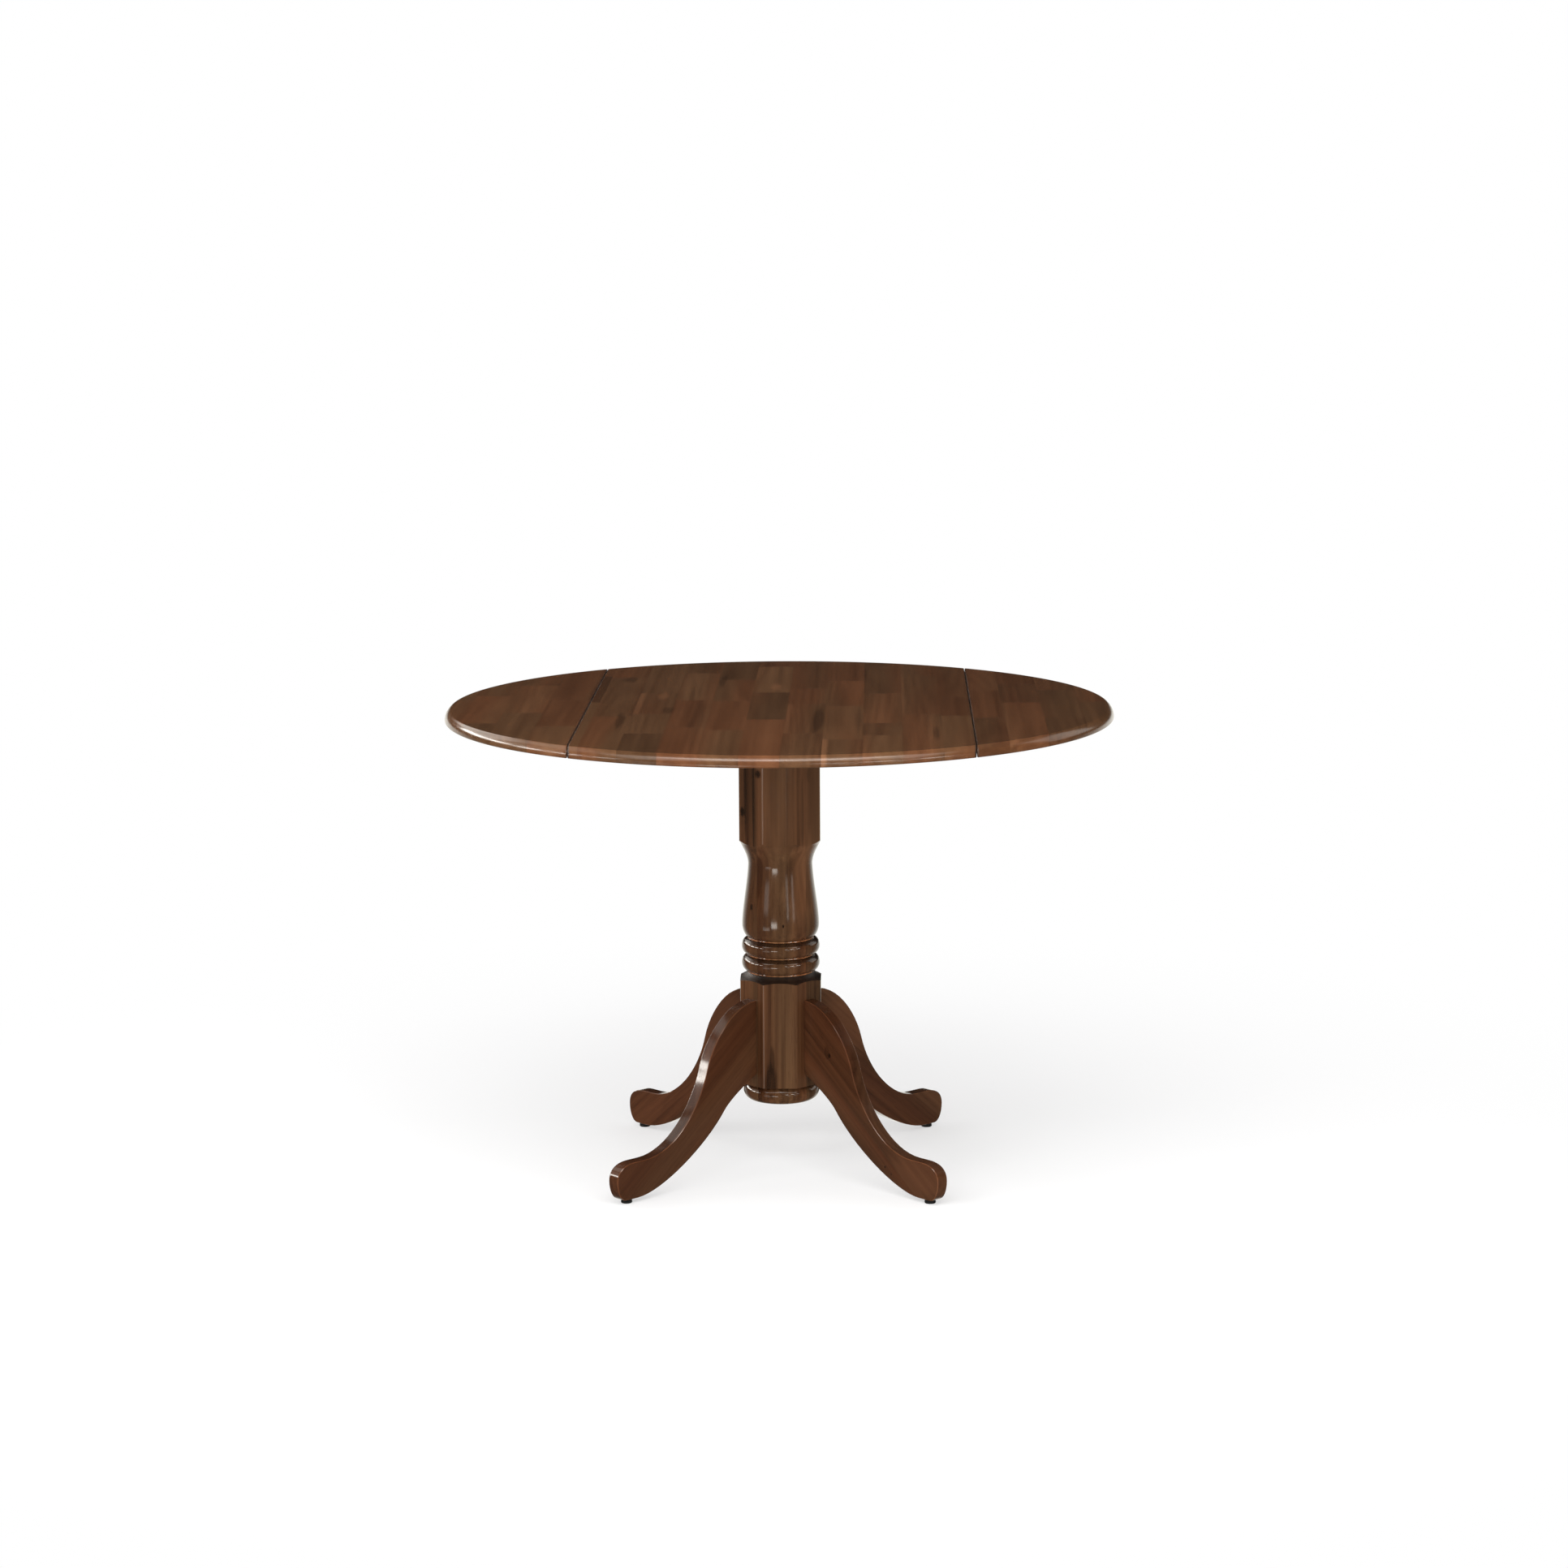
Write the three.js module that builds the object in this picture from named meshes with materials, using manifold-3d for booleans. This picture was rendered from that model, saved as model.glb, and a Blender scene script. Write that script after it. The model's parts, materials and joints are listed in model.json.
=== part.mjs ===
// Round drop-leaf pedestal dining table, in millimetres, +Z up.
// Origin: on the floor, on the axis of the post. The two leaves drop on the +X and -X sides.
// The seams, the hinge pins and the staves of the top run along Y.
import * as THREE from "three";
import { mergeVertices } from "three/addons/utils/BufferGeometryUtils.js";
import Module from "manifold-3d";

const wasm = await Module();
wasm.setup();

// ---------------------------------------------------------------- driving dimensions
const TOP_D = 1066.8; // diameter of the open top
const TABLE_H = 755.65; // floor to the top surface
const TOP_T = 18; // thickness of the top boards
const LEAF_W = 228.6; // each leaf, from its seam to the rim
const SEAM = 2; // open gap between a leaf and the centre panel
const EDGE_R = 18; // big round of the rim, which meets the top in a crease
const EDGE_R_LOW = 2.4; // small round under the rim
const SEAM_EASE = 2.5; // eased edges along the seams

const POST_AF = 130; // octagonal post, across its flats
const RING_H = 30; // half-round foot of the post
const RING_IN = 3.2; // how far the foot ring stands inside the flats
const TURN_H = 221; // turned length between the two octagonal blocks
const BORE_D = 60; // assembly bore in the underside of the post

const LEG_H = 283; // top of a leg, where it meets the post
const LEG_REACH = 364; // post axis to the toe
const LEG_T = 22; // leg thickness
const LEG_EASE = 2.5; // eased edges of a leg
const SOLE_Z = 6.5; // underside of the foot above the floor
const GLIDE_D = 18;

const CLEAT_T = 22; // wooden mounting plate between the post and the top
const CLEAT_Y = 250;

const PIN_DROP = 4.5; // hinge pin below the underside of the top
const PIN_R = 2.3;
const KNUCKLE_R = 4;
const HINGE_L = 64; // along the pin
const HINGE_W = 30; // each plate, out from the pin
const METAL_T = 2; // hinge and bracket plates

const STAY_FIX = 0.4 * LEAF_W; // stay pivot on the centre panel, in from the hinge pin
const STAY_LEAF = 0.57 * LEAF_W; // stay pivot on the leaf, out from the hinge pin
const STAY_DROP = 10; // both pivots below the hinge pin
const ARM_W = 13;
const ARM_T = 2.5;
const RIVET_R = 3;

const GAP = 0.3; // between touching pieces
const HOLE_PLAY = 0.4; // screws and rivets, on the radius
const PIN_PLAY = 0.2; // hinge pin in its knuckles, on the radius

// ---------------------------------------------------------------- derived dimensions
const R = TOP_D / 2;
const UNDER = TABLE_H - TOP_T;
const SEAM_X = R - LEAF_W;
const PIN_Z = UNDER - PIN_DROP;
const SEAM_HALF = Math.sqrt(R * R - SEAM_X * SEAM_X); // half the length of a seam
const HINGE_Y = 0.66 * SEAM_HALF;
const STAY_Y = 0.32 * SEAM_HALF;
const P = POST_AF / 2;
const POST_TOP = UNDER - CLEAT_T - 2 * GAP;
const LEG_LOW = 0.57 * LEG_H; // lower end of a leg on the post
const BLOCK_LOW = LEG_LOW - 21; // lower octagonal block
const BLOCK_TOP = LEG_H + 30;
const RING_LOW = BLOCK_LOW - RING_H;
const TURN_TOP = BLOCK_TOP + TURN_H;
const BORE_TOP = LEG_H - 12;
const LEG_IN = P + GAP;
const GLIDE_X = LEG_REACH - 27;
const BOLT_Z = [0.26, 0.74].map((f) => LEG_LOW + f * (LEG_H - LEG_LOW));
const CLEAT_X = 2 * (SEAM_X - STAY_FIX - 45);

// ---------------------------------------------------------------- materials
const wood = (color) => () =>
  new THREE.MeshStandardMaterial({ color, roughness: 0.36, metalness: 0 });
const topWood = wood(0x5d3d29);
const postWood = wood(0x563826);
const legWood = wood(0x4d2e1e);
const cleatWood = wood(0x6b4a33);
const steel = () =>
  new THREE.MeshStandardMaterial({ color: 0xa9a6a0, roughness: 0.38, metalness: 1 });
const blackPlastic = () =>
  new THREE.MeshStandardMaterial({ color: 0x15120f, roughness: 0.6, metalness: 0 });

// ---------------------------------------------------------------- helpers
function solid(geometry) {
  const g = geometry.clone();
  g.deleteAttribute("normal");
  g.deleteAttribute("uv");
  const m = mergeVertices(g, 1e-3);
  return new wasm.Manifold(
    new wasm.Mesh({
      numProp: 3,
      vertProperties: new Float32Array(m.attributes.position.array),
      triVerts: new Uint32Array(m.index.array),
    }),
  );
}

function geometryOf(manifold) {
  const mesh = manifold.getMesh();
  const g = new THREE.BufferGeometry();
  g.setAttribute("position", new THREE.BufferAttribute(mesh.vertProperties, 3));
  g.setIndex(new THREE.BufferAttribute(mesh.triVerts, 1));
  g.computeVertexNormals();
  return g;
}

const join = (...parts) => parts.map(solid).reduce((a, b) => a.add(b));
const cut = (body, ...tools) => tools.map(solid).reduce((a, b) => a.subtract(b), body);

const table = new THREE.Group();
table.name = "table";

function piece(name, shape, material, parent) {
  const geometry = shape.isBufferGeometry ? shape : geometryOf(shape);
  const mesh = new THREE.Mesh(geometry, material());
  mesh.name = name;
  parent.add(mesh);
  return mesh;
}

// A turned solid about Z, from a path of (radius, height).
function turned(path, segments, divisions = 6) {
  return new THREE.LatheGeometry(path.getPoints(divisions), segments).rotateX(Math.PI / 2);
}

const box = (x0, x1, y0, y1, z0, z1) =>
  new THREE.BoxGeometry(x1 - x0, y1 - y0, z1 - z0).translate(
    (x0 + x1) / 2,
    (y0 + y1) / 2,
    (z0 + z1) / 2,
  );

// A round bar along Y between y0 and y1, about the point (x, z).
const barY = (r, y0, y1, x = 0, z = 0, sides = 12) =>
  new THREE.CylinderGeometry(r, r, y1 - y0, sides).translate(x, (y0 + y1) / 2, z);

// A round bar along Z between z0 and z1.
const barZ = (r, z0, z1, x = 0, y = 0, sides = 10) =>
  new THREE.CylinderGeometry(r, r, z1 - z0, sides)
    .rotateX(Math.PI / 2)
    .translate(x, y, (z0 + z1) / 2);

// A round bar along X between x0 and x1, at height z.
const barX = (r, x0, x1, z, sides = 10) =>
  new THREE.CylinderGeometry(r, r, x1 - x0, sides)
    .rotateZ(Math.PI / 2)
    .translate((x0 + x1) / 2, 0, z);

// A flat plate in the XZ plane between y0 and y1, from an outline of (x, z).
const plateXZ = (shape, y0, y1, curveSegments = 6) =>
  new THREE.ExtrudeGeometry(shape, {
    depth: y1 - y0,
    bevelEnabled: false,
    curveSegments,
  })
    .rotateX(Math.PI / 2)
    .translate(0, y1, 0);

// ---------------------------------------------------------------- top
// One turned disc with the rim's profile, cut into three by strips with eased edges.
const rim = new THREE.Path();
rim.moveTo(0, UNDER);
rim.lineTo(R - EDGE_R_LOW, UNDER);
rim.absarc(R - EDGE_R_LOW, UNDER + EDGE_R_LOW, EDGE_R_LOW, -Math.PI / 2, 0, false);
rim.absarc(
  R - EDGE_R,
  UNDER + EDGE_R_LOW,
  EDGE_R,
  0,
  Math.asin((TOP_T - EDGE_R_LOW) / EDGE_R),
  false,
);
rim.lineTo(0, TABLE_H);
const disc = solid(turned(rim, 88, 2));

function strip(x0, x1) {
  const e = SEAM_EASE,
    z0 = UNDER - e,
    z1 = TABLE_H;
  const s = new THREE.Shape();
  s.moveTo(x0 + e / 2, UNDER - 0.01);
  s.lineTo(x1 - e / 2, UNDER - 0.01);
  s.quadraticCurveTo(x1, UNDER, x1, UNDER + e / 2);
  s.lineTo(x1, z1 - e);
  s.quadraticCurveTo(x1, z1, x1 - e, z1 + 0.01);
  s.lineTo(x0 + e, z1 + 0.01);
  s.quadraticCurveTo(x0, z1, x0, z1 - e);
  s.lineTo(x0, UNDER + e / 2);
  s.quadraticCurveTo(x0, UNDER, x0 + e / 2, UNDER - 0.01);
  return solid(plateXZ(s, -R - 5, R + 5, 2));
}
const half = SEAM_X - SEAM / 2;
piece("top_centre_panel", disc.intersect(strip(-half, half)), topWood, table);

// ---------------------------------------------------------------- mounting plate
const cleat = new THREE.Shape();
const cz0 = UNDER - GAP - CLEAT_T,
  cz1 = UNDER - GAP,
  ch = 6;
cleat.moveTo(-CLEAT_X / 2, cz1);
cleat.lineTo(-CLEAT_X / 2, cz0 + ch);
cleat.lineTo(-CLEAT_X / 2 + ch, cz0);
cleat.lineTo(CLEAT_X / 2 - ch, cz0);
cleat.lineTo(CLEAT_X / 2, cz0 + ch);
cleat.lineTo(CLEAT_X / 2, cz1);
const BOLT_R = 3;
const HEAD_R = 6.5;
const HEAD_T = 4;
const cleatBolts = [
  ["front_left", -1, -1],
  ["front_right", 1, -1],
  ["rear_left", -1, 1],
  ["rear_right", 1, 1],
].map(([n, sx, sy]) => [n, sx * 0.52 * P, sy * 0.52 * P]);
piece(
  "top_mounting_plate",
  cut(
    solid(plateXZ(cleat, -CLEAT_Y / 2, CLEAT_Y / 2)),
    ...cleatBolts.map(([, x, y]) => barZ(BOLT_R + HOLE_PLAY, cz0 - 1, cz1 + 1, x, y)),
    ...cleatBolts.map(([, x, y]) => barZ(HEAD_R + HOLE_PLAY, cz1 - HEAD_T - GAP, cz1 + 1, x, y)),
  ),
  cleatWood,
  table,
);
const LAG_L = 80;
for (const [n, x, y] of cleatBolts) {
  const p = new THREE.Path();
  p.moveTo(0, cz1 - LAG_L);
  p.lineTo(BOLT_R, cz1 - LAG_L + 4);
  p.lineTo(BOLT_R, cz1 - HEAD_T);
  p.lineTo(HEAD_R, cz1 - HEAD_T);
  p.lineTo(HEAD_R, cz1 - GAP);
  p.lineTo(0, cz1 - GAP);
  const bolt = piece("plate_bolt_" + n, turned(p, 10), steel, table);
  bolt.position.set(x, y, 0);
}

// ---------------------------------------------------------------- post
// Turned profile, then the two blocks are cut to an octagon with flats facing X and Y.
const FAT = 1.17 * P; // radius of the blank where the octagon shows
const profile = new THREE.Path();
profile.moveTo(0, BORE_TOP);
profile.lineTo(BORE_D / 2, BORE_TOP);
profile.lineTo(BORE_D / 2, RING_LOW);
profile.lineTo(P - RING_IN - RING_H / 2, RING_LOW);
const ringMid = RING_LOW + RING_H / 2;
profile.absarc(P - RING_IN - RING_H / 2, ringMid, RING_H / 2, -Math.PI / 2, Math.PI / 2, false);
profile.lineTo(FAT, BLOCK_LOW);
profile.lineTo(FAT, BLOCK_TOP - 0.55 * (FAT - P));
profile.lineTo(P, BLOCK_TOP);
// rounded shoulder, two beads and a vase that tapers up to a cove
const b0 = BLOCK_TOP + 0.043 * TURN_H;
const beadH = 0.125 * TURN_H;
const groove = P - 11;
const beadOut = 9;
profile.quadraticCurveTo(P - 0.4, BLOCK_TOP + 4.5, groove, b0);
for (const i of [0, 1])
  profile.absellipse(groove, b0 + (i + 0.5) * beadH, beadOut, beadH / 2, -Math.PI / 2, Math.PI / 2, false);
const v0 = b0 + 2 * beadH;
const WAIST = P - 13.1;
profile.bezierCurveTo(groove + 3, v0 + 1, P - 2.8, v0 + 10, P - 2.8, v0 + 20);
profile.lineTo(WAIST + 0.8, TURN_TOP - 0.21 * TURN_H);
profile.quadraticCurveTo(WAIST, TURN_TOP - 0.187 * TURN_H, WAIST, TURN_TOP - 0.165 * TURN_H);
profile.bezierCurveTo(
  WAIST,
  TURN_TOP - 0.11 * TURN_H,
  P - 7,
  TURN_TOP - 0.06 * TURN_H,
  P,
  TURN_TOP,
);
profile.lineTo(FAT, TURN_TOP + FAT - P);
profile.lineTo(FAT, POST_TOP);
profile.lineTo(0, POST_TOP);
const octagon = new THREE.CylinderGeometry(
  P / Math.cos(Math.PI / 8),
  P / Math.cos(Math.PI / 8),
  TABLE_H,
  8,
  1,
  false,
  Math.PI / 8,
)
  .rotateX(Math.PI / 2)
  .translate(0, 0, TABLE_H / 2);
const LEG_ANGLES = { front_left: 225, front_right: 315, rear_right: 45, rear_left: 135 };
const wallHoles = Object.values(LEG_ANGLES).flatMap((deg) =>
  BOLT_Z.map((z) =>
    barX(BOLT_R + HOLE_PLAY, BORE_D / 4, FAT + 5, z).rotateZ(THREE.MathUtils.degToRad(deg)),
  ),
);
piece(
  "pedestal_column",
  cut(
    solid(turned(profile, 32, 3)).intersect(solid(octagon)),
    ...wallHoles,
    ...cleatBolts.map(([, x, y]) =>
      barZ(BOLT_R + HOLE_PLAY, cz1 - LAG_L - 3, POST_TOP + 5, x, y),
    ),
  ),
  postWood,
  table,
);

// ---------------------------------------------------------------- legs
// Outline in the leg's own plane: f is the share of the way out, h the share of the leg's height.
const lx = (f) => LEG_IN + f * (LEG_REACH - LEG_IN);
const lz = (h) => h * LEG_H;
const legShape = new THREE.Shape();
legShape.moveTo(LEG_IN, LEG_LOW);
legShape.lineTo(LEG_IN, LEG_H);
legShape.bezierCurveTo(lx(0.169), lz(0.995), lx(0.314), lz(0.82), lx(0.361), lz(0.65)); // shoulder
legShape.bezierCurveTo(lx(0.416), lz(0.447), lx(0.594), lz(0.23), lx(0.8), lz(0.23)); // hollow
legShape.lineTo(lx(0.87), lz(0.23));
legShape.bezierCurveTo(lx(0.945), lz(0.23), lx(1), lz(0.205), lx(1), lz(0.135)); // toe
legShape.bezierCurveTo(lx(1), lz(0.079), lx(0.976), SOLE_Z, lx(0.94), SOLE_Z);
legShape.lineTo(lx(0.86), SOLE_Z);
legShape.bezierCurveTo(lx(0.686), SOLE_Z, lx(0.368), lz(0.227), lx(0.236), lz(0.402)); // under
legShape.bezierCurveTo(lx(0.196), lz(0.456), lx(0.054), lz(0.545), LEG_IN, LEG_LOW);
const legBlank = new THREE.ExtrudeGeometry(legShape, {
  depth: LEG_T - 2 * LEG_EASE,
  bevelEnabled: true,
  bevelThickness: LEG_EASE,
  bevelSize: LEG_EASE,
  bevelOffset: -LEG_EASE,
  bevelSegments: 1,
  curveSegments: 8,
})
  .rotateX(Math.PI / 2)
  .translate(0, LEG_T / 2 - LEG_EASE, 0);
const BOLT_IN = 36; // length of a bolt inside the leg
const NAIL_R = 2;
const NAIL_TOP = 24;
const leg = cut(
  solid(legBlank),
  ...BOLT_Z.map((z) => barX(BOLT_R + HOLE_PLAY, LEG_IN - 5, LEG_IN + BOLT_IN + 2, z)),
  barZ(NAIL_R + HOLE_PLAY, SOLE_Z - 5, NAIL_TOP + 2, GLIDE_X, 0, 8),
);
const legGeometry = geometryOf(leg);

const glidePath = new THREE.Path();
glidePath.moveTo(0, 0);
glidePath.lineTo(GLIDE_D / 2 - 1.5, 0);
glidePath.lineTo(GLIDE_D / 2, 1.5);
glidePath.lineTo(GLIDE_D / 2 - 0.5, SOLE_Z - GAP);
glidePath.lineTo(NAIL_R, SOLE_Z - GAP);
glidePath.lineTo(NAIL_R, NAIL_TOP - 3);
glidePath.lineTo(0, NAIL_TOP);
const glideGeometry = turned(glidePath, 16);

// Bolt from the bore through the post's wall: washer and hexagon head against the bore.
const WASHER_R = 8;
const seat = Math.sqrt((BORE_D / 2) ** 2 - WASHER_R ** 2) - GAP;
const boltSolid = (z) =>
  geometryOf(
    join(
      barX(BOLT_R, seat - 3, LEG_IN + BOLT_IN, z),
      barX(WASHER_R, seat - 1.5, seat, z, 12),
      barX(5.8, seat - 5.5, seat - 1.4, z, 6),
    ),
  );

for (const [corner, deg] of Object.entries(LEG_ANGLES)) {
  const arm = new THREE.Group();
  arm.rotation.z = THREE.MathUtils.degToRad(deg);
  table.add(arm);
  piece("leg_" + corner, legGeometry, legWood, arm);
  piece("glide_" + corner, glideGeometry, blackPlastic, arm).position.x = GLIDE_X;
  piece("leg_bolt_" + corner + "_lower", boltSolid(BOLT_Z[0]), steel, arm);
  piece("leg_bolt_" + corner + "_upper", boltSolid(BOLT_Z[1]), steel, arm);
}

// ---------------------------------------------------------------- leaves, hinges and stays
// Both sides are the same group of pieces, turned half a turn about Z.
const knuckle = HINGE_L / 3;
const playY = 0.4; // between knuckles
const plateTop = PIN_DROP - GAP; // above the pin
const k = KNUCKLE_R + 0.6;

// side is +1 for the plate that lies outwards (the leaf's), -1 for the centre panel's
function hingePlate(side, ends) {
  const spans = ends
    ? [
        [-HINGE_L / 2, -knuckle / 2 - playY / 2],
        [knuckle / 2 + playY / 2, HINGE_L / 2],
      ]
    : [[-knuckle / 2 + playY / 2, knuckle / 2 - playY / 2]];
  const along = (x0, x1, y0, y1) =>
    box(Math.min(x0, x1), Math.max(x0, x1), y0, y1, plateTop - METAL_T, plateTop);
  const body = join(
    along(side * k, side * HINGE_W, -HINGE_L / 2, HINGE_L / 2),
    ...spans.map(([a, b]) => along(0, side * (k + 1), a, b)),
    ...spans.map(([a, b]) => barY(KNUCKLE_R, a, b)),
  );
  return geometryOf(cut(body, barY(PIN_R + PIN_PLAY, -HINGE_L, HINGE_L)));
}
const fixedPlate = hingePlate(-1, true);
const leafPlate = hingePlate(1, false);

const pinPath = new THREE.Path();
const pinEnd = HINGE_L / 2 + GAP;
pinPath.moveTo(0, -pinEnd - 1.5);
pinPath.lineTo(PIN_R + 1, -pinEnd - 1.5);
pinPath.lineTo(PIN_R + 1, -pinEnd);
pinPath.lineTo(PIN_R, -pinEnd);
pinPath.lineTo(PIN_R, pinEnd);
pinPath.lineTo(PIN_R + 1, pinEnd);
pinPath.lineTo(PIN_R + 1, pinEnd + 1.5);
pinPath.lineTo(0, pinEnd + 1.5);
const pinGeometry = turned(pinPath, 12).rotateX(Math.PI / 2);

// Stay: a parallelogram of hinge pin, panel pivot A, elbow B and leaf pivot C.
const A = [-STAY_FIX, -STAY_DROP];
const C = [STAY_LEAF, -STAY_DROP];
const B = [A[0] + C[0], A[1] + C[1]];
const layer = ARM_T + GAP; // pitch of the stacked strips along Y
const t = ARM_T / 2;

function arm(from, to) {
  const w = ARM_W / 2;
  const turn = Math.atan2(to[1] - from[1], to[0] - from[0]);
  const s = new THREE.Shape();
  s.absarc(from[0], from[1], w, turn + Math.PI / 2, turn + 1.5 * Math.PI, false);
  s.absarc(to[0], to[1], w, turn - Math.PI / 2, turn + Math.PI / 2, false);
  return s;
}

function ear([x, z]) {
  const w = ARM_W / 2 + 1;
  const s = new THREE.Shape();
  s.moveTo(x + w, plateTop - 0.5);
  s.lineTo(x - w, plateTop - 0.5);
  s.absarc(x, z, w, Math.PI, 2 * Math.PI, false);
  return s;
}

// A bracket has its ear in y0..y1, its foot on the far side of the ear from the arms (out = -1, 1),
// and its rivet through the next strip.
function bracket(at, y0, y1, out, rivetTo) {
  const foot = 16;
  const edge = out > 0 ? y0 : y1;
  const [f0, f1] = out > 0 ? [edge, edge + foot] : [edge - foot, edge];
  const headAt = rivetTo > 0 ? [rivetTo, rivetTo + 1.6] : [rivetTo - 1.6, rivetTo];
  return geometryOf(
    join(
      plateXZ(ear(at), y0, y1, 4),
      box(at[0] - 25, at[0] + 25, f0, f1, plateTop - METAL_T, plateTop),
      barY(RIVET_R, Math.min(y0, rivetTo - 0.5), Math.max(y1, rivetTo + 0.5), at[0], at[1]),
      barY(5, ...headAt, at[0], at[1]),
    ),
  );
}
const rivetEye = (at) => barY(RIVET_R + HOLE_PLAY, -20, 20, at[0], at[1]);
const farSide = layer + t + GAP;
const panelBracket = bracket(A, -t, t, -1, farSide);
const leafBracket = bracket(C, layer - t, layer + t, 1, -t - GAP);
const longArm = geometryOf(
  cut(
    join(
      plateXZ(arm(A, B), layer - t, layer + t, 4),
      barY(RIVET_R, -t - GAP - 0.5, layer, B[0], B[1]),
      barY(5, -t - GAP - 1.6, -t - GAP, B[0], B[1]),
    ),
    rivetEye(A),
  ),
);
const shortArm = geometryOf(
  cut(solid(plateXZ(arm(B, C), -t, t, 4)), rivetEye(B), rivetEye(C)),
);

for (const side of ["right", "left"]) {
  const turnedRound = side === "left";
  const group = new THREE.Group();
  group.rotation.z = turnedRound ? Math.PI : 0;
  table.add(group);
  piece("drop_leaf_" + side, disc.intersect(strip(SEAM_X + SEAM / 2, R + 5)), topWood, group);

  const place = (y) => ((turnedRound ? -y : y) < 0 ? "front" : y === 0 ? "middle" : "rear");
  for (const y of [-HINGE_Y, 0, HINGE_Y]) {
    const at = new THREE.Group();
    at.position.set(SEAM_X, y, PIN_Z);
    group.add(at);
    const name = "hinge_" + side + "_" + place(y);
    piece(name + "_panel_plate", fixedPlate, steel, at);
    piece(name + "_leaf_plate", leafPlate, steel, at);
    piece(name + "_pin", pinGeometry, steel, at);
  }
  for (const y of [-STAY_Y, STAY_Y]) {
    const at = new THREE.Group();
    at.position.set(SEAM_X, y, PIN_Z);
    group.add(at);
    const name = "stay_" + side + "_" + place(y);
    piece(name + "_panel_bracket", panelBracket, steel, at);
    piece(name + "_long_arm", longArm, steel, at);
    piece(name + "_short_arm", shortArm, steel, at);
    piece(name + "_leaf_bracket", leafBracket, steel, at);
  }
}

export default table;
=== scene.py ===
import json
import random
from math import asin, cos, degrees, hypot, pi, radians, sin, sqrt, tau

import bmesh
import bpy
from mathutils import Matrix, Vector, geometry


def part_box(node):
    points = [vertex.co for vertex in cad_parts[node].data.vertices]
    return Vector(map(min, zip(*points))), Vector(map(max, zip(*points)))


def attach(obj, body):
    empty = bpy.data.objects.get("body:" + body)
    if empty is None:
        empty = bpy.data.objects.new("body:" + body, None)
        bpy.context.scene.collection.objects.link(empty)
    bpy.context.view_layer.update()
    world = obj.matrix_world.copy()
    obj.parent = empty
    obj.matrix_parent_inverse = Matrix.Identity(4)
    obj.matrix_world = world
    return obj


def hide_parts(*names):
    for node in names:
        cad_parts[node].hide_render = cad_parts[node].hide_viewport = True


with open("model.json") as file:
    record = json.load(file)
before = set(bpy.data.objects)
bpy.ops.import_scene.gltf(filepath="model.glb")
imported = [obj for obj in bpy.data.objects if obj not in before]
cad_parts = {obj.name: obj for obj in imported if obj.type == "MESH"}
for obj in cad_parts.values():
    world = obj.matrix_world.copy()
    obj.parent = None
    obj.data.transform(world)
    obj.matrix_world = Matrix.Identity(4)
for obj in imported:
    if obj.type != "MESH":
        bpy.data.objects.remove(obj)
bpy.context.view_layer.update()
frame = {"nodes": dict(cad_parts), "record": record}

scene = bpy.context.scene
scene.view_settings.view_transform = "Standard"


# ------------------------------------------------------------------ studio
# A round drop-leaf dining table stands on a white floor under a white dome, with four softboxes round it. The
# camera looks at it from the front, a little from above. Its angles are in radians.
CAMERA_DISTANCE = 6.0225
CAMERA_HEIGHT = 1.624
CAMERA_TURN = 0.02681
CAMERA_PITCH = 0.16416
CAMERA_YAW = -0.00113
CAMERA_ROLL = -0.00591
CAMERA_LENS = 87.36

heading = CAMERA_TURN + CAMERA_YAW
ahead = Vector((-sin(heading) * cos(CAMERA_PITCH), cos(heading) * cos(CAMERA_PITCH), -sin(CAMERA_PITCH)))
level_right = Vector((cos(heading), sin(heading), 0))
level_up = level_right.cross(ahead)
camera_right = level_right * cos(CAMERA_ROLL) + level_up * sin(CAMERA_ROLL)
camera_up = level_up * cos(CAMERA_ROLL) - level_right * sin(CAMERA_ROLL)
camera_data = bpy.data.cameras.new("camera")
camera_data.lens = CAMERA_LENS
camera_data.sensor_width = 36
camera_data.clip_end = 200
camera = bpy.data.objects.new("camera", camera_data)
scene.collection.objects.link(camera)
camera.matrix_world = Matrix.LocRotScale(
    Vector((CAMERA_DISTANCE * sin(CAMERA_TURN), -CAMERA_DISTANCE * cos(CAMERA_TURN), CAMERA_HEIGHT)),
    Matrix((camera_right, camera_up, -ahead)).transposed(),
    None,
)
scene.camera = camera


class Value:
    """A socket that carries a number, so that shader maths can be written as expressions."""

    def __init__(self, finish, socket):
        self.finish, self.socket = finish, socket

    def math(self, operation, *others, clamp=False):
        settings = {"operation": operation, "use_clamp": clamp}
        return self.finish.node("ShaderNodeMath", settings, dict(enumerate((self, *others))))

    def __add__(self, other):
        return self.math("ADD", other)

    def __sub__(self, other):
        return self.math("SUBTRACT", other)

    def __rsub__(self, other):
        return self * -1 + other

    def __mul__(self, other):
        return self.math("MULTIPLY", other)

    def __pow__(self, other):
        return self.math("POWER", other)

    __radd__, __rmul__ = __add__, __mul__

    def ramp(self, low, high):
        """0 below low, 1 above high, smooth between; high may be the smaller one."""
        inputs = {"Value": self, "From Min": low, "From Max": high}
        return self.finish.node("ShaderNodeMapRange", {"interpolation_type": "SMOOTHSTEP"}, inputs)


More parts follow.
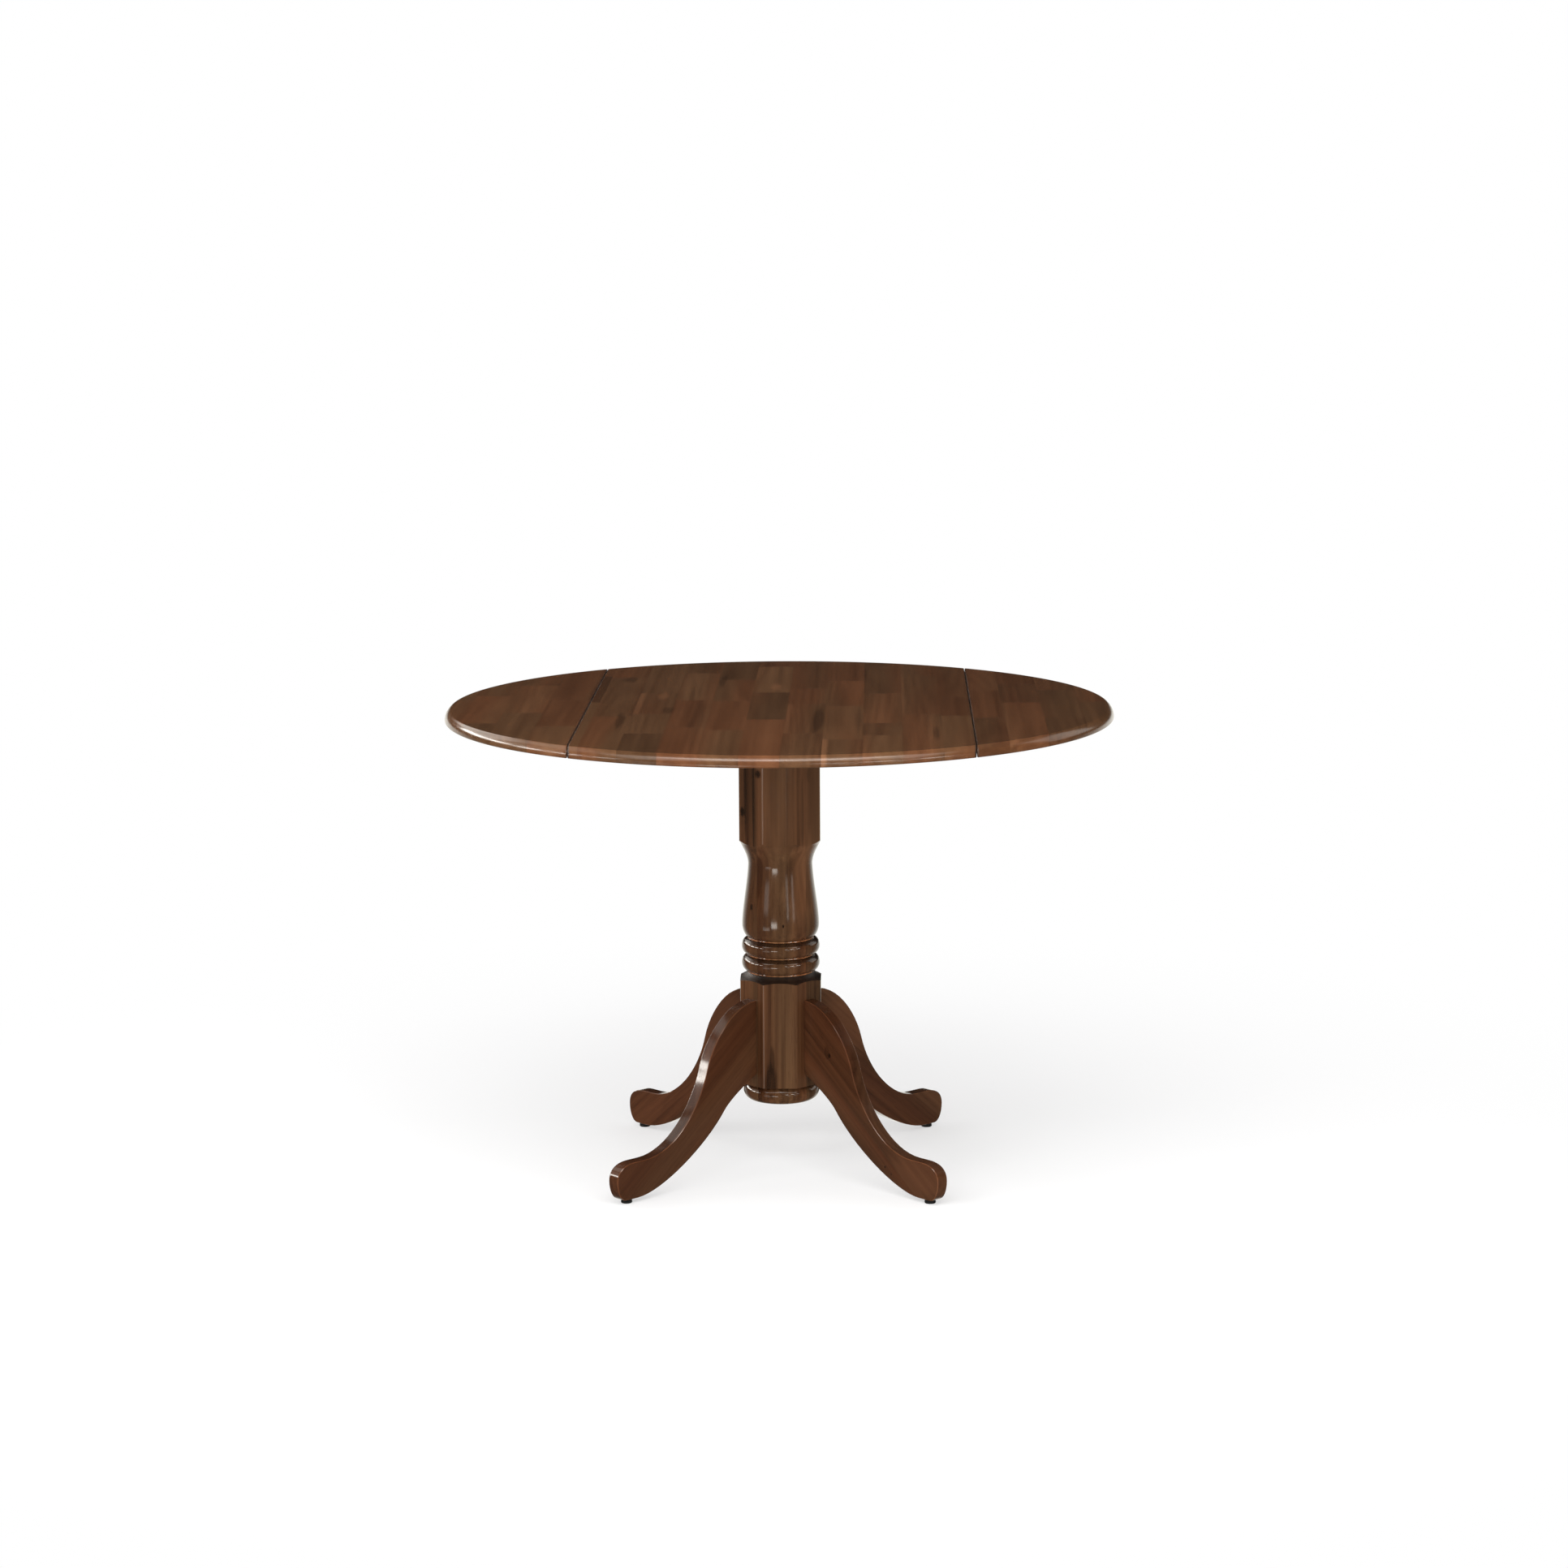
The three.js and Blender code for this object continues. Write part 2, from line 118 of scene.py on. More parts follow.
class Finish:
    """A node tree, of a material or of the world."""

    def __init__(self, owner):
        owner.use_nodes = True
        self.owner, self.tree = owner, owner.node_tree
        self.tree.nodes.clear()

    def node(self, kind, settings=None, inputs=None, output=0):
        made = self.tree.nodes.new(kind)
        for key, value in (settings or {}).items():
            setattr(made, key, value)
        for key, value in (inputs or {}).items():
            if isinstance(value, Value):
                self.tree.links.new(value.socket, made.inputs[key])
            else:
                made.inputs[key].default_value = value
        return Value(self, made.outputs[output]) if made.outputs else None

    def mix(self, factor, a, b, blend="MIX"):
        """Colour a, then b as factor rises."""
        settings = {"data_type": "RGBA", "blend_type": blend}
        return self.node("ShaderNodeMix", settings, {0: factor, 6: a, 7: b}, output=2)

    def noise(self, place, stretch, detail=2.0, roughness=0.5, distortion=0.0):
        moved = self.node("ShaderNodeMapping", inputs={"Vector": place, "Scale": stretch})
        look = {"Scale": 1.0, "Detail": detail, "Roughness": roughness, "Distortion": distortion}
        return self.node("ShaderNodeTexNoise", inputs={"Vector": moved, **look})


# The camera sees an even white dome. Matt surfaces are lit mostly from the front. Gloss sees a dim room with
# a pale floor behind the table, and one card for each lamp or window: where it stands in degrees (azimuth, 0
# in front and positive towards +X, then elevation), its width and height in degrees, and its brightness.
CARD_BLUR = 0.012
CARDS = [
    (-106, 24, 44, 18, 0.8),
    (-110, 46, 40, 18, 0.9),
    (-138, 26, 34, 22, 2.2),
    (-130, 14, 20, 6, 12),
    (-18, -6, 17, 6, 7),
    (-44, 4, 14, 6, 1.5),
    (23, 3, 7, 7, 2.5),
    (42, 2, 7, 8, 1.6),
    (-42, -12, 20, 7, 2),
    (-60, 14, 8, 3, 18),
    (-76, 14, 12, 4, 20),
    (-94, 14, 12, 5, 20),
    (-112, 15, 12, 5, 20),
    (19, 15, 8, 3, 16),
    (36, 15, 10, 3, 18),
    (55, 15, 12, 3, 14),
    (122, 22, 30, 26, 1.2),
    (0, 56, 90, 30, 2.4),
    (-36, 53, 22, 9, 5.5),
    (-12, 53, 20, 9, 5.5),
    (12, 53, 20, 9, 5.5),
    (36, 53, 22, 9, 5.5),
]
dome = Finish(bpy.data.worlds.new("dome"))
scene.world = dome.owner
direction = dome.node("ShaderNodeTexCoord", output="Generated")
height = dome.node("ShaderNodeSeparateXYZ", inputs={0: direction}, output="Z")
depth = dome.node("ShaderNodeSeparateXYZ", inputs={0: direction}, output="Y")
from_front = depth.ramp(0.1, -0.95) * height.ramp(0.85, -0.1)
fill = dome.mix(from_front, (0.50, 0.50, 0.51, 1), (3.1, 3.06, 2.96, 1))
pale_floor = dome.mix(depth.ramp(0.45, 0.98), (0.085, 0.088, 0.074, 1), (1.3, 1.3, 1.2, 1))
room = dome.mix(height.ramp(-0.03, 0.03), pale_floor, (0.014, 0.013, 0.012, 1))
room = dome.mix(height.ramp(0.3, 0.9), room, (0.10, 0.095, 0.09, 1))


def dot(vector):
    """How far the direction looked in goes along a unit vector."""
    return dome.node("ShaderNodeVectorMath", {"operation": "DOT_PRODUCT"}, {0: direction, 1: vector}, "Value")


cards = None
for azimuth, elevation, wide, tall, brightness in CARDS:
    turn, rise = radians(azimuth), radians(elevation)
    middle = Vector((cos(rise) * sin(turn), -cos(rise) * cos(turn), sin(rise)))
    rightwards = Vector((cos(turn), sin(turn), 0))
    upwards = middle.cross(rightwards)
    card = None
    for axis, size in ((rightwards, wide), (upwards, tall)):
        reach = sin(radians(size / 2))
        inside = dot(axis).math("ABSOLUTE").ramp(reach + CARD_BLUR, reach - CARD_BLUR)
        card = inside if card is None else card * inside
    card = card * dot(middle).math("GREATER_THAN", 0) * brightness
    cards = card if cards is None else cards + card
shine = dome.node("ShaderNodeVectorMath", {"operation": "SCALE"}, {0: (1, 0.97, 0.91), "Scale": cards})
room = dome.node("ShaderNodeVectorMath", {"operation": "ADD"}, {0: room, 1: shine})
seen_in_gloss = dome.node("ShaderNodeLightPath", output="Is Glossy Ray")
seen_by_camera = dome.node("ShaderNodeLightPath", output="Is Camera Ray")
sky = dome.mix(seen_by_camera, dome.mix(seen_in_gloss, fill, room), (1, 1, 1, 1))
background = dome.node("ShaderNodeBackground", inputs={"Color": sky, "Strength": 1.0})
dome.node("ShaderNodeOutputWorld", inputs={"Surface": background})

TABLE_MIDDLE = Vector((0, 0, 0.45))


def softbox(name, azimuth, height, distance, width, tall, radiance, aim=TABLE_MIDDLE):
    """azimuth in degrees, 0 in front of the table and positive towards +X; lengths in metres."""
    light = bpy.data.lights.new(name, "AREA")
    light.shape = "RECTANGLE"
    light.size, light.size_y = width, tall
    light.energy = radiance * pi * width * tall
    lamp = bpy.data.objects.new(name, light)
    scene.collection.objects.link(lamp)
    angle = radians(azimuth)
    place = Vector((distance * sin(angle), -distance * cos(angle), height))
    facing = (place - aim).to_track_quat("Z", "Y")
    lamp.matrix_world = Matrix.Translation(place) @ facing.to_matrix().to_4x4()
    lamp.visible_camera = False
    lamp.visible_glossy = False


softbox("left_softbox", -100, 2.1, 2.4, 1.6, 1.4, 1.4)
softbox("high_left_softbox", -50, 1.9, 2.6, 1.2, 1.0, 5.0)
softbox("right_softbox", 125, 2.5, 2.2, 1.3, 1.3, 0.8)
softbox("front_softbox", 5, 2.4, 1.5, 2.2, 1.3, 4.2)

# The floor is lit near the table and fades to an even white further off. Seen from below it is clear.
FLOOR_SIZE = 40
FADE_START = 0.5
FADE_END = 1.9
floor_mesh = bmesh.new()
bmesh.ops.create_grid(floor_mesh, x_segments=8, y_segments=8, size=FLOOR_SIZE)
floor_data = bpy.data.meshes.new("floor")
floor_mesh.to_mesh(floor_data)
floor_mesh.free()
floor = bpy.data.objects.new("floor", floor_data)
scene.collection.objects.link(floor)
floor.visible_glossy = False
paint = Finish(bpy.data.materials.new("floor_paint"))
matt = paint.node("ShaderNodeBsdfDiffuse", inputs={"Color": (0.52, 0.52, 0.52, 1)})
glow = paint.node("ShaderNodeEmission", inputs={"Color": (0.5, 0.5, 0.5, 1), "Strength": 1.0})
both = paint.node("ShaderNodeAddShader", inputs={0: matt, 1: glow})
on_floor = paint.node("ShaderNodeTexCoord", output="Object")
from_table = paint.node("ShaderNodeVectorMath", {"operation": "LENGTH"}, {0: on_floor}, "Value")
white = paint.node("ShaderNodeEmission", inputs={"Color": (1, 1, 1, 1), "Strength": 1.0})
faded = from_table.ramp(FADE_START, FADE_END)
fading = paint.node("ShaderNodeMixShader", inputs={0: faded, 1: both, 2: white})
from_below = paint.node("ShaderNodeNewGeometry", output="Backfacing")
clear = paint.node("ShaderNodeBsdfTransparent")
one_sided = paint.node("ShaderNodeMixShader", inputs={0: from_below, 1: fading, 2: clear})
paint.node("ShaderNodeOutputMaterial", inputs={"Surface": one_sided})
floor_data.materials.append(paint.owner)


# ------------------------------------------------------------------ top
# The top is a 42 inch disc of block-glued hardwood, 18 mm thick, stained walnut under a satin lacquer. Its
# rim is a big round that meets the flat in a crease. It is sawn into a centre panel and two leaves, and the
# edges of each seam are eased.
top_low, top_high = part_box("top_centre_panel")
leaf_low, leaf_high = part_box("drop_leaf_right")
TOP_RADIUS = leaf_high.x
UNDERSIDE = top_low.z
TOP_HEIGHT = top_high.z
PANEL_HALF = top_high.x
LEAF_START = leaf_low.x
RIM_ROUND = 0.018
RIM_ROUND_LOW = 0.0024
CREASE_ROUND = 0.0007
SEAM_ROUND = 0.0021
SEAM_CLOSER = 0.0005  # on each side, lacquer narrows the seam by this much
RIM_SIDES = 240
# Painted shade: the eased faces beside each seam are darkened to this tone.
SEAM_SHADE_TONE = 0.55
SLICE = 1e-6


def arc(centre, radii, start, end, steps):
    """Points of an arc of an ellipse in the XZ plane, angles in degrees from +X towards +Z."""
    turns = [radians(start + (end - start) * i / steps) for i in range(steps + 1)]
    return [(centre[0] + radii[0] * cos(a), centre[1] + radii[1] * sin(a)) for a in turns]


def bezier(a, handle_a, handle_b, b, steps):
    points = geometry.interpolate_bezier(*(Vector((*p, 0)) for p in (a, handle_a, handle_b, b)), steps + 1)
    return [(p.x, p.y) for p in points]


def outline(bm, points, closed=False):
    """A chain of edges through points of the XZ plane, without repeats."""
    verts = []
    for x, z in points:
        if not verts or (verts[-1].co - Vector((x, 0, z))).length > 1e-6:
            verts.append(bm.verts.new((x, 0, z)))
    if closed and (verts[-1].co - verts[0].co).length < 1e-6:
        bm.verts.remove(verts.pop())
    edges = [bm.edges.new(pair) for pair in zip(verts, verts[1:])]
    if closed:
        edges.append(bm.edges.new((verts[-1], verts[0])))
    return verts, edges


def turn_on_lathe(bm, points, sides):
    """Spins an outline about Z; an open end is closed with one flat face."""
    verts, edges = outline(bm, points)
    bmesh.ops.spin(
        bm, geom=verts + edges, cent=(0, 0, 0), axis=(0, 0, 1), angle=tau, steps=sides, use_merge=True
    )
    bmesh.ops.remove_doubles(bm, verts=bm.verts, dist=SLICE)
    close_holes(bm)


def close_holes(bm):
    bmesh.ops.holes_fill(bm, edges=[e for e in bm.edges if e.is_boundary], sides=0)
    bmesh.ops.recalc_face_normals(bm, faces=bm.faces)


def saw(bm, place, normal):
    """Cuts away what lies beyond the plane and closes the cut."""
    everything = bm.verts[:] + bm.edges[:] + bm.faces[:]
    bmesh.ops.bisect_plane(bm, geom=everything, dist=SLICE, plane_co=place, plane_no=normal, clear_outer=True)
    close_holes(bm)


def ease_sawn_face(bm, x, side, radius, steps=4):
    """Rounds every edge of the sawn face at x, whose outside is on the side of +X or -X."""
    for i in range(1, steps + 1):
        depth = radius * (1 - cos(pi / 2 * i / steps))
        everything = bm.verts[:] + bm.edges[:] + bm.faces[:]
        place = (x - side * depth, 0, 0)
        bmesh.ops.bisect_plane(bm, geom=everything, dist=SLICE, plane_co=place, plane_no=(1, 0, 0))
    bm.normal_update()
    moves = []
    for v in bm.verts:
        inside = (x - v.co.x) * side
        if inside < radius - SLICE:
            skins = [f.normal for f in v.link_faces if abs(f.normal.x) < 0.95]
            out = sum(skins, Vector())
            out.x = 0
            if out.length > SLICE:
                drop = radius - sqrt(max(0, radius**2 - (radius - inside) ** 2))
                out.normalize()
                moves.append((v, out * drop * (1 - 0.5 * abs(out.z))))
    for v, move in moves:
        v.co -= move


STAVE_WIDTH = 0.061
FAR_AWAY = 10


class Stave:
    """One strip of a glued-up board: its left edge, and its pieces from the far end on, each as its near end
    along the grain, its tone (1 is the usual brown) and, where it has any, how much sapwood shows."""

    def __init__(self, left, *pieces):
        self.left, self.pieces = left, pieces


def glue_up(bm, to_grain, staves, seed):
    """Parts the faces along the glue lines, and gives each corner its place in its own stave.
    to_grain turns the object's frame into (across the staves, through the board, along the grain)."""
    grain = bm.loops.layers.float_vector.new("grain")
    place_in_stave = bm.loops.layers.uv.new("stave")
    tone_of = bm.faces.layers.float.new("tone")
    sap_of = bm.faces.layers.float.new("sapwood")
    turned = to_grain.to_3x3()
    across, along = turned.row[0].copy(), turned.row[2].copy()

    def cut(faces, direction, distance):
        near = set(faces) | {e for f in faces for e in f.edges} | {v for f in faces for v in f.verts}
        place = direction * distance
        bmesh.ops.bisect_plane(bm, geom=list(near), dist=SLICE, plane_co=place, plane_no=direction)

    for stave in staves[1:]:
        cut(bm.faces[:], across, stave.left)
    rights = [s.left for s in staves[1:]] + [FAR_AWAY]
    for stave, right in zip(staves, rights):
        for joint, *_ in stave.pieces[:-1]:
            mine = [f for f in bm.faces if stave.left <= (turned @ f.calc_center_median()).x < right]
            if mine:
                cut(mine, along, joint)

    def place_of(face):
        """The number of the face's stave, and of its piece in that stave."""
        centre = turned @ face.calc_center_median()
        index = max(i for i, s in enumerate(staves) if i == 0 or centre.x >= s.left)
        pieces = staves[index].pieces
        row = next((i for i, p in enumerate(pieces) if centre.z >= p[0]), len(pieces) - 1)
        return index, row

    places = {face: place_of(face) for face in bm.faces}
    dice = random.Random(seed)
    cut_from = {}
    for key in sorted(set(places.values())):
        cut_from[key] = Vector((dice.uniform(1, 9), dice.uniform(1, 9), dice.uniform(1, 9)))
    for face, (index, row) in places.items():
        stave = staves[index]
        piece = stave.pieces[row]
        far = stave.pieces[row - 1][0] if row else FAR_AWAY
        width = min(rights[index] - stave.left, STAVE_WIDTH)
        face[tone_of] = piece[1]
        face[sap_of] = piece[2] if len(piece) > 2 else 0
        for loop in face.loops:
            point = turned @ loop.vert.co
            loop[grain] = point + cut_from[index, row]
            loop[place_in_stave].uv = ((point.x - stave.left) / width, far - point.z)


def make_piece(name, bm, material, body, replaced=(), sharp=28):
    """Turns a bmesh into a finished piece: smooth faces, edges crisp where they turn by more than sharp
    degrees, one material, and its place in the frame."""
    for face in bm.faces:
        face.smooth = True
    for edge in bm.edges:
        edge.smooth = len(edge.link_faces) == 2 and edge.calc_face_angle(0) < radians(sharp)
    mesh = bpy.data.meshes.new(name)
    bm.to_mesh(mesh)
    bm.free()
    mesh.materials.append(material)
    piece = bpy.data.objects.new(name, mesh)
    scene.collection.objects.link(piece)
    weigh = piece.modifiers.new("even_flats", "WEIGHTED_NORMAL")
    weigh.keep_sharp = True
    weigh.weight = 50
    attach(piece, body)
    if replaced:
        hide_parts(*replaced)
    return piece


def walnut(name, pale, deep, roughness, stripes, marks_and_painted_light=()):
    """Stained hardwood under lacquer: brown stripes, growth rings, pores, glue lines and sapwood. A mark is a
    knot or streak, or a patch of painted light or shade: its middle, its reach along X, Y and Z, and how dark
    it is (a pale one is below 0)."""
    wood = Finish(bpy.data.materials.new(name))
    place = wood.node("ShaderNodeAttribute", {"attribute_name": "grain"}, output="Vector")
    tone = wood.node("ShaderNodeAttribute", {"attribute_name": "tone"}, output="Fac")
    sapwood = wood.node("ShaderNodeAttribute", {"attribute_name": "sapwood"}, output="Fac")
    in_stave = wood.node("ShaderNodeUVMap", {"uv_map": "stave"})
    across = wood.node("ShaderNodeSeparateXYZ", inputs={0: in_stave}, output="X")
    from_joint = wood.node("ShaderNodeSeparateXYZ", inputs={0: in_stave}, output="Y")

    # Scales count cycles in a metre: across the staves, through the board, and along the grain.
    bands = wood.noise(place, (30, 30, 0.9), detail=2, distortion=0.2)
    narrow = wood.noise(place, (110, 110, 1.6), detail=2)
    fibre = wood.noise(place, (520, 520, 9), detail=2, roughness=0.6)
    field = wood.noise(place, (9, 9, 0.45), detail=0)
    rings = (field * 100 + narrow).math("SINE") * 0.5 + 0.5
    streak = wood.noise(place, (24, 24, 0.9), detail=2, distortion=0.5).ramp(0.60, 0.74)
    pores = wood.noise(place, (1300, 1300, 45), detail=0).ramp(0.66, 0.74)
    cloud = wood.noise(place, (7, 7, 2.5), detail=1)

    shade = (bands - 0.5) * stripes + (narrow - 0.5) * stripes * 0.5
    shade = shade + (fibre - 0.5) * 0.35 + (rings - 0.5) * 0.2
    colour = wood.mix(shade.math("ADD", 0.5, clamp=True), (*deep, 1), (*pale, 1))
    hue = wood.noise(place, (14, 14, 0.6), detail=0).ramp(0.35, 0.65)
    tint = wood.mix(hue, (0.94, 1.04, 1.04, 1), (1.06, 0.98, 0.92, 1))
    colour = wood.mix(1.0, colour, tint, "MULTIPLY")
    dark = tuple(c * 0.3 for c in deep) + (1,)
    light = tuple(c * 1.7 for c in pale) + (1,)
    sap = tuple(c * 2.2 for c in pale) + (1,)
    colour = wood.mix(streak * 0.4, colour, dark)
    colour = wood.mix(pores * 0.25, colour, dark)
    body_place = wood.node("ShaderNodeTexCoord", output="Object")
    # Knots and streaks, and patches of painted light and shade.
    for middle, reach, darkness in marks_and_painted_light:
        scale = tuple(1 / r for r in reach)
        shift = tuple(-m / r for m, r in zip(middle, reach))
        to_ball = {"Vector": body_place, "Location": shift, "Scale": scale}
        ball = wood.node("ShaderNodeMapping", inputs=to_ball)
        far = wood.node("ShaderNodeVectorMath", {"operation": "LENGTH"}, {0: ball}, "Value")
        blot = (far + (narrow - 0.5) * 1.1 + (bands - 0.5) * 0.8).ramp(1.0, 0.45)
        colour = wood.mix(blot * abs(darkness), colour, dark if darkness > 0 else light)
    pale_edge = (across + (bands - 0.5) * 0.3).ramp(0.16, 0.06) * sapwood
    colour = wood.mix(pale_edge * 0.6, colour, sap)
    near_edge = (across - 0.5).math("ABSOLUTE").ramp(0.490, 0.499)
    near_joint = from_joint.ramp(0.0009, 0.0003)
    line = near_edge.math("MAXIMUM", near_joint)  # the glue line
    colour = wood.mix(line * 0.16, colour, dark)
    lit = tone ** 2.2 * (cloud * 0.3 + 0.85)
    toned = wood.node("ShaderNodeVectorMath", {"operation": "SCALE"}, {0: colour, "Scale": lit})
    unpolished = (0.75 - tone).math("MAXIMUM", 0)
    relief = fibre * 0.15 - pores * 0.4 - line * 0.6 + cloud * 1.2 + narrow * 0.4
    bump = wood.node("ShaderNodeBump", inputs={"Strength": 0.12, "Distance": 0.0004, "Height": relief})
    gloss_varies = (cloud - 0.5) * 0.08 + (fibre - 0.5) * 0.06
    surface = wood.node(
        "ShaderNodeBsdfPrincipled",
        inputs={
            "Base Color": toned,
            "Roughness": gloss_varies + unpolished * 1.5 + roughness,
            "Normal": bump,
        },
    )
    wood.node("ShaderNodeOutputMaterial", inputs={"Surface": surface})
    return wood.owner


TOP_MARKS = [
    ((-0.255, 0.29, 0.755), (0.016, 0.045, 0.02), 0.45),
    ((-0.245, -0.16, 0.755), (0.009, 0.11, 0.02), 0.45),
    ((-0.175, -0.065, 0.755), (0.010, 0.045, 0.02), 0.4),
    ((-0.19, 0.095, 0.755), (0.012, 0.05, 0.02), -0.35),
    ((-0.10, 0.265, 0.755), (0.008, 0.08, 0.02), 0.4),
    ((-0.01, 0.2, 0.755), (0.014, 0.07, 0.02), -0.35),
    ((0.065, -0.165, 0.755), (0.010, 0.13, 0.02), 0.5),
    ((0.245, -0.31, 0.755), (0.010, 0.11, 0.02), 0.45),
]
top_wood = walnut("top_walnut", (0.149, 0.0645, 0.0290), (0.077, 0.0300, 0.0124), 0.17, 1.2, TOP_MARKS)

# Staves run along Y. END is past the near end of any board.
END = -9
CENTRE_STAVES = [
    Stave(-0.305, (0.33, 0.98), (0.025, 0.78), (END, 1.0)),
    Stave(-0.289, (0.31, 1.0), (-0.13, 0.97), (END, 1.0)),
    Stave(-0.2286, (0.13, 1.01), (-0.105, 0.98, 0.4), (-0.308, 1.0), (END, 0.88)),
    Stave(-0.168, (0.37, 0.98), (0.05, 1.06), (-0.245, 1.01), (END, 1.03)),
    Stave(-0.1074, (0.29, 0.94), (0.035, 1.0), (-0.275, 1.0), (END, 1.03)),
    Stave(-0.0468, (0.45, 0.92), (0.135, 1.09), (-0.165, 0.9), (END, 1.03)),
    Stave(0.0138, (0.18, 0.95), (0.0, 0.98), (-0.31, 1.0, 0.3), (END, 0.96)),
    Stave(0.0744, (0.27, 0.97), (-0.02, 1.05), (-0.37, 1.05), (END, 0.97, 0.6)),
    Stave(0.135, (0.12, 0.96), (-0.205, 1.05), (-0.33, 0.98), (END, 1.07)),
    Stave(0.1956, (0.33, 0.95, 0.2), (-0.11, 0.95, 0.35), (END, 1.0)),
    Stave(0.2562, (0.08, 0.95), (-0.13, 0.92), (END, 1.02)),
]
RIGHT_STAVES = [
    Stave(0.3, (0.15, 0.97), (-0.15, 0.93), (END, 0.89)),
    Stave(0.355, (0.225, 0.9), (0.015, 0.86), (END, 1.03)),
    Stave(0.417, (0.155, 1.0), (-0.155, 0.93), (END, 0.9)),
    Stave(0.479, (0.02, 0.92), (END, 0.98)),
]
LEFT_STAVES = [
    Stave(-0.54, (0.05, 0.97), (END, 1.0)),
    Stave(-0.495, (0.1, 0.96), (-0.2, 1.04), (END, 0.98)),
    Stave(-0.433, (0.22, 0.98), (-0.09, 1.06), (END, 0.97)),
    Stave(-0.37, (0.05, 0.96), (-0.23, 0.98), (END, 1.02)),
]
ALONG_Y = Matrix(((1, 0, 0, 0), (0, 0, 1, 0), (0, 1, 0, 0), (0, 0, 0, 1)))
CREASE_ANGLE = degrees(asin((TOP_HEIGHT - UNDERSIDE - RIM_ROUND_LOW) / RIM_ROUND))


def round_top():
    """The whole disc, before it is sawn."""
    bm = bmesh.new()
    low_centre = (TOP_RADIUS - RIM_ROUND_LOW, UNDERSIDE + RIM_ROUND_LOW)
    rim = arc(low_centre, (RIM_ROUND_LOW, RIM_ROUND_LOW), -90, 0, 4)
    rim += arc((TOP_RADIUS - RIM_ROUND, low_centre[1]), (RIM_ROUND, RIM_ROUND), 0, CREASE_ANGLE, 12)
    turn_on_lathe(bm, rim, RIM_SIDES)
    flat = max(bm.faces, key=lambda f: f.calc_center_median().z)
    bmesh.ops.bevel(
        bm, geom=list(flat.edges), offset=CREASE_ROUND, offset_type="OFFSET", segments=2, profile=0.5,
        affect="EDGES", material=-1,
    )
    return bm


def paint_seam_shade(bm):
    """Painted shade: darkens the eased faces beside each seam, where shade falls in the gap."""
    tone_of = bm.faces.layers.float["tone"]
    for face in bm.faces:
        from_seam = abs(abs(face.calc_center_median().x) - (PANEL_HALF + LEAF_START) / 2)
        if from_seam < 1.5 * SEAM_ROUND and abs(face.normal.x) > 0.3:
            face[tone_of] = SEAM_SHADE_TONE


panel = round_top()
for side in (1, -1):
    saw(panel, (side * (PANEL_HALF + SEAM_CLOSER), 0, 0), (side, 0, 0))
    ease_sawn_face(panel, side * (PANEL_HALF + SEAM_CLOSER), side, SEAM_ROUND)
glue_up(panel, ALONG_Y, CENTRE_STAVES, seed=3)
paint_seam_shade(panel)
make_piece("centre_panel", panel, top_wood, "base", ["top_centre_panel"])

for side, name, staves, seed in ((1, "right", RIGHT_STAVES, 5), (-1, "left", LEFT_STAVES, 8)):
    leaf = round_top()
    saw(leaf, (side * (LEAF_START - SEAM_CLOSER), 0, 0), (-side, 0, 0))
    ease_sawn_face(leaf, side * (LEAF_START - SEAM_CLOSER), -side, SEAM_ROUND)
    glue_up(leaf, ALONG_Y, staves, seed)
    paint_seam_shade(leaf)
    make_piece(f"leaf_{name}", leaf, top_wood, f"{name}_leaf", [f"drop_leaf_{name}"])


# ------------------------------------------------------------------ post
# The post is one blank glued up from planks, turned and then sawn to an octagon above and below the turning.
# Its foot ring is left round, and a wide bore from below gives a wrench room to reach the leg bolts.
_, post_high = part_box("pedestal_column")
leg_low, leg_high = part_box("leg_front_right")
FLAT = post_high.x
LEG_TOP = leg_high.z
LEG_FOOT_ON_POST = 0.57 * LEG_TOP
BLOCK_LOW = LEG_FOOT_ON_POST - 0.021
BLOCK_TOP = LEG_TOP + 0.030
RING_HEIGHT = 0.030
RING_IN = 0.0032
TURNING = 0.221
BORE = 0.030
BORE_TOP = LEG_TOP - 0.012
BLANK = 1.17 * FLAT
POST_SIDES = 128
VALLEY = 0.0013
ARRIS = 0.0022
FINE_EDGE = 0.0005

ring_low = BLOCK_LOW - RING_HEIGHT
turning_top = BLOCK_TOP + TURNING
groove = FLAT - 0.011
bead_low = BLOCK_TOP + 0.043 * TURNING
bead_height = 0.125 * TURNING
vase_low = bead_low + 2 * bead_height
waist = FLAT - 0.0131
belly = FLAT - 0.0028

profile = [(BORE, BORE_TOP), (BORE, ring_low + 0.002), (BORE + 0.002, ring_low)]
profile += arc(
    (FLAT - RING_IN - RING_HEIGHT / 2, ring_low + RING_HEIGHT / 2),
    (RING_HEIGHT / 2, RING_HEIGHT / 2),
    -90,
    90,
    20,
)
profile += [(BLANK, BLOCK_LOW), (BLANK, BLOCK_TOP - 0.55 * (BLANK - FLAT))]
profile += bezier(
    (FLAT, BLOCK_TOP),
    (FLAT - 0.006, BLOCK_TOP + 0.002),
    (groove + 0.002, bead_low - 0.004),
    (groove, bead_low - VALLEY),
    8,
)
for bead in (0, 1):
    profile += arc((groove, bead_low + bead * bead_height), (-VALLEY, VALLEY), -90, 90, 6)
    middle_height = bead_low + (bead + 0.5) * bead_height
    profile += arc((groove, middle_height), (0.009, bead_height / 2 - VALLEY), -90, 90, 20)
profile += arc((groove, vase_low), (-VALLEY, VALLEY), -90, 90, 6)
vase_low += VALLEY
at_belly = (belly, vase_low + 0.020)
at_waist = (waist, turning_top - 0.165 * TURNING)
at_shoulder = (FLAT, turning_top)
profile += bezier(
    (groove, vase_low), (groove + 0.003, vase_low + 0.001), (belly, vase_low + 0.010), at_belly, 10
)
profile += bezier(
    at_belly, (belly, vase_low + 0.045), (waist + 0.001, turning_top - 0.30 * TURNING), at_waist, 14
)
